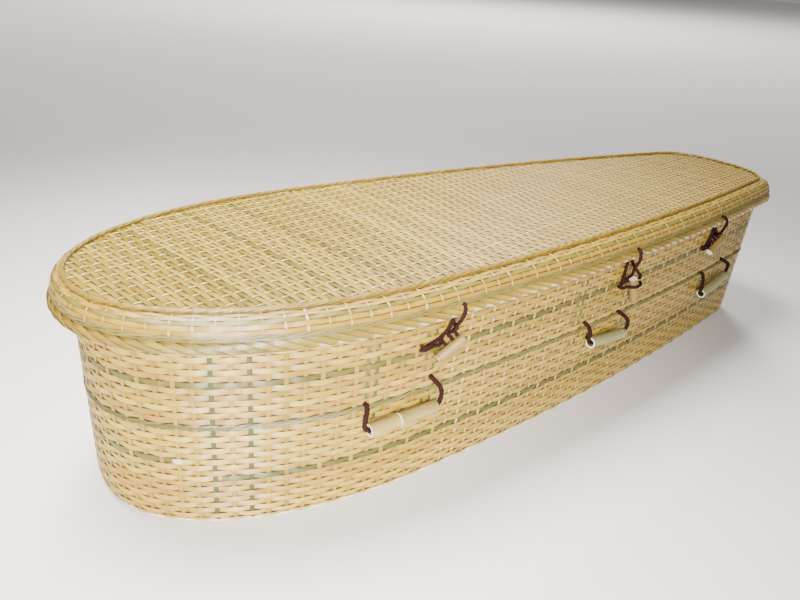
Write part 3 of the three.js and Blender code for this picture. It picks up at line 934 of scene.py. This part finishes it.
# %% Toggles
TOGGLE = {"length": 62 * MM, "radius": 9.8 * MM, "off": 20 * MM, "cord": 7.5 * MM, "behind": 0.6}
TOGGLES = (
    {"x": -375, "z": 302, "slant": 0.70, "out": 0.25,
     "tie": {"hole": (-433, 307), "route": ((-408, 310, 30), (-393, 311, 28)), "end": -4},
     "loop": {"route": ((-367, 396, 7.6), (-368, 395, 1), (-371, 387, -5), (-377, 375, -6), (-380, 362, 0),
                        (-379, 346, 9)), "end": 12},
     "back": {"hole": (-430, 312), "route": ((-410, 317, 30), (-392, 324, 29), (-379, 336, 28),
                                             (-371, 350, 27.5), (-367, 364, 26), (-367, 373.4, 25.5))},
     "under": {"route": ((-374, 373.4, 25.5), (-373, 362, 24.5), (-369, 349, 23), (-362, 338, 21)),
               "end": 24}},
    {"x": 188, "z": 281, "slant": 1.83, "out": -0.08,
     "tie": {"hole": (158, 287), "route": ((166, 291, 26),), "over": 16},
     "loop": {"route": ((147, 395, 7.6), (147, 395, 1), (145, 384, -5.5), (142, 370, -6), (144, 351, 3),
                        (153, 331, 11)), "end": 26.5},
     "back": {"hole": (151, 290), "route": ((152, 300, 32), (152, 318, 29), (151, 338, 27.5), (150, 358, 26),
                                            (150, 373.4, 25.5))},
     "under": {"route": ((160, 373.4, 25.5), (162, 360, 24), (174, 339, 20), (189, 325, 16), (200, 312, 15)),
               "far_end": 12}},
    {"x": 585, "z": 304, "slant": 0.62, "out": 0.12,
     "tie": {"hole": (538, 296), "route": ((552, 298, 30), (563, 302, 27)), "end": -6},
     "loop": {"route": ((541, 396, 7.6), (545, 395, 1), (551, 387, -5), (555, 374, -6), (560, 360, 0),
                        (567, 344, 8)), "end": 6},
     "back": {"hole": (541, 301), "route": ((552, 306, 31), (561, 317, 29.5), (566, 333, 28.5),
                                            (567, 353, 27), (567, 373.4, 25.5))},
     "under": {"route": ((559, 373.4, 25.5), (562, 360, 24.5), (570, 345, 22), (581, 333, 20)), "end": 16}})
HOOK_ANGLES = (0.3, 0.9, 1.5, 2.1, 2.7)
HOOK_OFF = 2.4 * MM
TIE_OUT, TIE_ALONG = 8 * MM, 0.2                          # how a tie leaves its hole
NEAR_END, FAR_END = (14, 7, 0.45), (12, 6, 0.45)          # how far off the bar a cord is as it comes in


def add_toggle(number, place, side):
    radius, cord = TOGGLE["radius"], TOGGLE["cord"]
    at, along, out = wall_at(place["x"] * MM, place["z"] * MM, side, TOGGLE["off"])
    slanted = along * math.cos(place["slant"]) + UP * math.sin(place["slant"])
    axis = (slanted + out * place["out"]).normalized()
    ring = -TOGGLE["length"] / 2 + 6 * MM
    bar = cane(f"toggle_bar_{number}", TOGGLE["length"], radius, 0, ring, 0.0)
    finish_cane(bar, ring, at, axis)
    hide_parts(f"toggle_{number}")
    canes.append(bar)

    front = (out - axis * out.dot(axis)).normalized()
    across = axis.cross(front).normalized()
    if across.dot(along) > 0:
        across = -across

    def on_bar(shift, angle, reach):
        sideways = across * (reach * math.cos(angle))
        return at + axis * shift * MM + sideways + front * (reach * math.sin(angle))

    def on_route(p):
        return Vector((p[0] * MM, side * float(half_width(p[0] * MM) - p[2] * MM), p[1] * MM))

    def cord_points(part):
        points = []
        if "hole" in part:
            hole, _, hole_out = wall_at(part["hole"][0] * MM, part["hole"][1] * MM, side)
            start = hole + hole_out * START_OFF
            points = [start, (start + hole_out * TIE_OUT).lerp(on_route(part["route"][0]), TIE_ALONG)]
        points += [on_route(p) for p in part["route"]]
        if "end" in part:
            points += [on_bar(part["end"], -TOGGLE["behind"], radius + k * MM) for k in NEAR_END]
        if "far_end" in part:
            angle = math.pi + TOGGLE["behind"]
            points += [on_bar(part["far_end"], angle, radius + k * MM) for k in FAR_END]
        if "over" in part:
            points += [on_bar(part["over"], a, radius + cord / 2 + HOOK_OFF) for a in HOOK_ANGLES]
        return points

    for kind, node in (("tie", "toggle_cord"), ("loop", "lid_loop"), ("back", None), ("under", None)):
        points = cord_points(place[kind])
        length = lay_cord(f"toggle_{kind}_{number}", points, cord, node and f"{node}_{number}")
        print("toggle", number, kind, round(length * 1000), "mm")


for side, first in ((-1, 1), (1, 4)):
    for i in range(3):
        add_handle(first + i, HANDLES[i], side)
        add_toggle(first + i, TOGGLES[i], side)

# %% [markdown]
# ## Materials
# Bamboo has long fine fibres, broad changes of tone along a strip, and now and then the line of a node.
# One node group makes these three from the strip's UV map, and a mask for the painted shade at a strip's
# edges as well.
# The strips' and the canes' materials all use it.

# %% The fibre group
def add_node(tree, kind, **settings):
    node = tree.nodes.new(kind)
    for key, value in settings.items():
        setattr(node, key, value)
    return node


def math_node(tree, operation, a, b=None, clamp=False):
    node = add_node(tree, "ShaderNodeMath", operation=operation, use_clamp=clamp)
    for socket, value in zip(node.inputs, (a, b)):
        if isinstance(value, (int, float)):
            socket.default_value = value
        elif value is not None:
            tree.links.new(value, socket)
    return node.outputs[0]


def noise(tree, vector, scale, detail):
    node = add_node(tree, "ShaderNodeTexNoise")
    node.inputs["Scale"].default_value = scale
    node.inputs["Detail"].default_value = detail
    tree.links.new(vector, node.inputs["Vector"])
    return node.outputs["Fac"]


def stretched(tree, vector, scale):
    node = add_node(tree, "ShaderNodeMapping")
    node.inputs["Scale"].default_value = scale
    tree.links.new(vector, node.inputs["Vector"])
    return node.outputs["Vector"]


def fibre_group():
    tree = bpy.data.node_groups.new("bamboo_fibre", "ShaderNodeTree")
    tree.interface.new_socket("Place", in_out="INPUT", socket_type="NodeSocketVector")
    for name in ("Fine", "Broad", "Node line", "Edge shade"):
        tree.interface.new_socket(name, in_out="OUTPUT", socket_type="NodeSocketFloat")
    place = add_node(tree, "NodeGroupInput").outputs["Place"]
    result = add_node(tree, "NodeGroupOutput")
    tree.links.new(noise(tree, stretched(tree, place, (45, 11, 1)), 1.0, 3), result.inputs["Fine"])
    tree.links.new(noise(tree, stretched(tree, place, (7, 1.2, 1)), 1.0, 2), result.inputs["Broad"])
    split = add_node(tree, "ShaderNodeSeparateXYZ")
    tree.links.new(place, split.inputs[0])
    part = math_node(tree, "FRACT", math_node(tree, "MULTIPLY", split.outputs["X"], 2.9))
    line = math_node(tree, "LESS_THAN", part, 0.008)
    tree.links.new(line, result.inputs["Node line"])
    # mask for painted shade towards a strip's edges
    away = math_node(tree, "ABSOLUTE", math_node(tree, "SUBTRACT", split.outputs["Y"], 0.5))
    edge = math_node(tree, "MULTIPLY", math_node(tree, "SUBTRACT", away, 0.34), 6.0, clamp=True)
    tree.links.new(edge, result.inputs["Edge shade"])
    return tree


FIBRE = fibre_group()

# %% [markdown]
# ## Bamboo strips
# The colour attribute moves each strip between cream, tan, green, gold and white, and carries the
# painted shade and painted highlights of the weave as well. The fibres then darken it a little and
# raise a fine bump, and painted shade darkens each strip towards its edges.

# %% Bamboo strips
# the last colour here is painted shade for the strips' edges
BROWNER, NODE_BROWN, PAINTED_EDGE_SHADE = (0.55, 0.42, 0.26, 1), (0.30, 0.17, 0.06, 1), (0.50, 0.38, 0.14, 1)
CREAM, TAN = (0.50, 0.37, 0.062, 1), (0.27, 0.158, 0.012, 1)
GREEN, GOLD, PITH = (0.048, 0.066, 0.005, 1), (0.36, 0.23, 0.018, 1), (0.78, 0.71, 0.52, 1)


def mix_colour(tree, amount, a, b, blend="MIX"):
    node = add_node(tree, "ShaderNodeMix", data_type="RGBA", blend_type=blend)
    for socket, value in ((node.inputs[0], amount), (node.inputs[6], a), (node.inputs[7], b)):
        if isinstance(value, (tuple, int, float)):
            socket.default_value = value
        else:
            tree.links.new(value, socket)
    return node.outputs[2]


def new_material(name):
    material = bpy.data.materials.new(name)
    material.use_nodes = True
    return material, material.node_tree, material.node_tree.nodes["Principled BSDF"]


def bump(tree, shader, height, strength, distance):
    node = add_node(tree, "ShaderNodeBump")
    node.inputs["Strength"].default_value = strength
    node.inputs["Distance"].default_value = distance
    tree.links.new(height, node.inputs["Height"])
    tree.links.new(node.outputs[0], shader.inputs["Normal"])


def scaled(tree, value, low, high):
    node = add_node(tree, "ShaderNodeMapRange")
    node.inputs["To Min"].default_value = low
    node.inputs["To Max"].default_value = high
    tree.links.new(value, node.inputs["Value"])
    return node.outputs[0]


def strip_material(name, gloss, shine):
    material, tree, shader = new_material(name)
    uv = add_node(tree, "ShaderNodeUVMap", uv_map="UVMap").outputs[0]
    shade = add_node(tree, "ShaderNodeAttribute", attribute_name="shade")
    parts = add_node(tree, "ShaderNodeSeparateColor")
    tree.links.new(shade.outputs["Color"], parts.inputs[0])
    fibre = add_node(tree, "ShaderNodeGroup", node_tree=FIBRE)
    tree.links.new(uv, fibre.inputs["Place"])
    fine, broad, line = fibre.outputs["Fine"], fibre.outputs["Broad"], fibre.outputs["Node line"]
    tan = math_node(tree, "ADD", parts.outputs[0], scaled(tree, broad, -0.7, 0.7), clamp=True)
    colour = mix_colour(tree, tan, CREAM, TAN)
    colour = mix_colour(tree, parts.outputs[2], colour, GOLD)
    green = math_node(tree, "MULTIPLY", parts.outputs[1], scaled(tree, broad, 0.8, 1.15), clamp=True)
    colour = mix_colour(tree, green, colour, GREEN)
    colour = mix_colour(tree, shade.outputs["Alpha"], colour, PITH)
    colour = mix_colour(tree, scaled(tree, fine, 0.0, 0.5), colour, BROWNER, "MULTIPLY")
    colour = mix_colour(tree, math_node(tree, "MULTIPLY", line, 0.5), colour, NODE_BROWN)
    # painted shade: each strip darkens towards its edges
    edge = math_node(tree, "MULTIPLY", fibre.outputs["Edge shade"], 0.75)
    colour = mix_colour(tree, edge, colour, PAINTED_EDGE_SHADE, "MULTIPLY")
    tree.links.new(colour, shader.inputs["Base Color"])
    tree.links.new(scaled(tree, fine, gloss, gloss + 0.2), shader.inputs["Roughness"])
    shader.inputs["Specular IOR Level"].default_value = shine
    shader.inputs["Anisotropic"].default_value = 0.9
    shader.inputs["Anisotropic Rotation"].default_value = 0.25
    tangent = add_node(tree, "ShaderNodeTangent", direction_type="UV_MAP", uv_map="UVMap")
    tree.links.new(tangent.outputs[0], shader.inputs["Tangent"])
    bump(tree, shader, fine, 0.7, 0.0006)
    return material


BAMBOO = strip_material("split_bamboo", 0.34, 0.7)
PANEL_BAMBOO = strip_material("split_bamboo_top", 0.42, 0.3)

# %% [markdown]
# ## Cane, cord and the solid walls
# Cane takes the same fibres round its skin. The cord is matt, with painted shade in the furrows between its
# strands. The solid walls behind the strips are coloured near black, a painted shade that shows in the slits
# of the weave.

# %% Cane, cord and the solid walls
def cane_material(name, colour_a, colour_b, ring_colour, roughness):
    material, tree, shader = new_material(name)
    uv = add_node(tree, "ShaderNodeUVMap", uv_map="UVMap").outputs[0]
    fibre = add_node(tree, "ShaderNodeGroup", node_tree=FIBRE)
    tree.links.new(stretched(tree, uv, (1, 6, 1)), fibre.inputs["Place"])
    colour = mix_colour(tree, scaled(tree, fibre.outputs["Broad"], -0.3, 1.3), colour_a, colour_b)
    streak = scaled(tree, fibre.outputs["Fine"], 0, 0.4)
    colour = mix_colour(tree, streak, colour, (0.6, 0.5, 0.35, 1), "MULTIPLY")
    split = add_node(tree, "ShaderNodeSeparateXYZ")
    tree.links.new(uv, split.inputs[0])
    away = math_node(tree, "ABSOLUTE", split.outputs["X"])
    ring = math_node(tree, "SUBTRACT", 1.0, math_node(tree, "MULTIPLY", away, 420), clamp=True)
    colour = mix_colour(tree, ring, colour, ring_colour)
    tree.links.new(colour, shader.inputs["Base Color"])
    shader.inputs["Roughness"].default_value = roughness
    bump(tree, shader, fibre.outputs["Fine"], 0.2, 0.0004)
    return material


def object_material(name, colour_a, colour_b, scale, roughness, strength):
    material, tree, shader = new_material(name)
    place = add_node(tree, "ShaderNodeTexCoord").outputs["Object"]
    value = noise(tree, place, scale, 4)
    colour = mix_colour(tree, scaled(tree, value, -0.4, 1.4), colour_a, colour_b)
    tree.links.new(colour, shader.inputs["Base Color"])
    shader.inputs["Roughness"].default_value = roughness
    bump(tree, shader, value, strength, 0.001)
    return material


def cord_material():
    material, tree, shader = new_material("brown_cord")
    uv = add_node(tree, "ShaderNodeUVMap", uv_map="UVMap").outputs[0]
    split = add_node(tree, "ShaderNodeSeparateXYZ")
    tree.links.new(uv, split.inputs[0])
    # painted shade: darker in the furrows between the cord's strands
    turn = math_node(tree, "MULTIPLY", split.outputs["Y"], 3 * math.pi)
    lobe = math_node(tree, "ABSOLUTE", math_node(tree, "COSINE", turn))
    fuzz = noise(tree, stretched(tree, uv, (900, 30, 1)), 1.0, 3)
    colour = mix_colour(tree, lobe, (0.003, 0.001, 0.0007, 1), (0.020, 0.0055, 0.004, 1))
    colour = mix_colour(tree, scaled(tree, fuzz, 0, 0.6), colour, (0.04, 0.012, 0.009, 1))
    tree.links.new(colour, shader.inputs["Base Color"])
    shader.inputs["Specular IOR Level"].default_value = 0.12
    shader.inputs["Roughness"].default_value = 0.8
    bump(tree, shader, fuzz, 0.5, 0.0006)
    return material


CREAM_SKIN = cane_material("cane_cream", (0.36, 0.27, 0.085, 1), (0.28, 0.23, 0.07, 1),
                           (0.84, 0.78, 0.62, 1), 0.34)
GOLDEN_SKIN = cane_material("cane_golden", (0.30, 0.20, 0.045, 1), (0.22, 0.15, 0.03, 1),
                            (0.16, 0.10, 0.03, 1), 0.5)
GREEN_SKIN = cane_material("cane_grey_green", (0.24, 0.24, 0.11, 1), (0.29, 0.26, 0.11, 1),
                           (0.38, 0.36, 0.2, 1), 0.34)
CREAM_HANDLES = ("handle_tube_1", "handle_tube_4")
CUT = object_material("cane_cut_end", (0.80, 0.72, 0.56, 1), (0.90, 0.86, 0.76, 1),
                      scale=900, roughness=0.6, strength=0.3)
# painted shade: the solid walls are near black so the slits of the weave read as shadow
SHADE_BACKING = object_material("weave_backing_painted_shade", (0.03, 0.014, 0.006, 1), (0.09, 0.045, 0.016, 1),
                          scale=140, roughness=0.7, strength=0.4)
HOOP = object_material("hoop_pith", (0.62, 0.52, 0.34, 1), (0.80, 0.74, 0.58, 1),
                       scale=60, roughness=0.6, strength=0.3)
CORD = cord_material()
PAPER = object_material("floor_paper", (0.79, 0.76, 0.75, 1), (0.81, 0.78, 0.77, 1),
                        scale=0.7, roughness=0.85, strength=0.0)

# %% Give out materials
woven = {base_lower: "weave", base_upper: "weave", base_stakes: "weave", base_band: "weave",
         lid_side_weave: "weave", lid_side_stakes: "weave", lid_band: "weave", lid_top_across: "weave",
         lid_top_along: "weave", under_across: "weave", under_along: "weave", lid_border: "plait",
         lid_edge: "band"}
for obj, slot in woven.items():
    obj.data.materials.append(PANEL_BAMBOO if obj in (lid_top_across, lid_top_along) else BAMBOO)
for obj in cords:
    obj.data.materials.append(CORD)
for obj in canes:
    skin = CREAM_SKIN if obj.name in CREAM_HANDLES else GREEN_SKIN
    if obj.name.startswith("toggle"):
        skin = GOLDEN_SKIN
    obj.data.materials.append(skin)
    obj.data.materials.append(CUT)
floor.data.materials.append(PAPER)


def refinish(node, material):
    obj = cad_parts[node]
    obj.data.materials.clear()
    obj.data.materials.append(material)


# the near-black painted shade goes on the solid walls
refinish("base_basket", SHADE_BACKING)
refinish("lid_shell", SHADE_BACKING)
refinish("base_hoop", HOOP)
print(len(woven), "woven pieces,", len(cords), "cords,", len(canes), "canes")

# %% [markdown]
# ## Finish
# Nothing here moves, so every piece rides on the one body, root.

# %% Finish
for obj in list(woven) + cords + canes:
    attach(obj, "root")
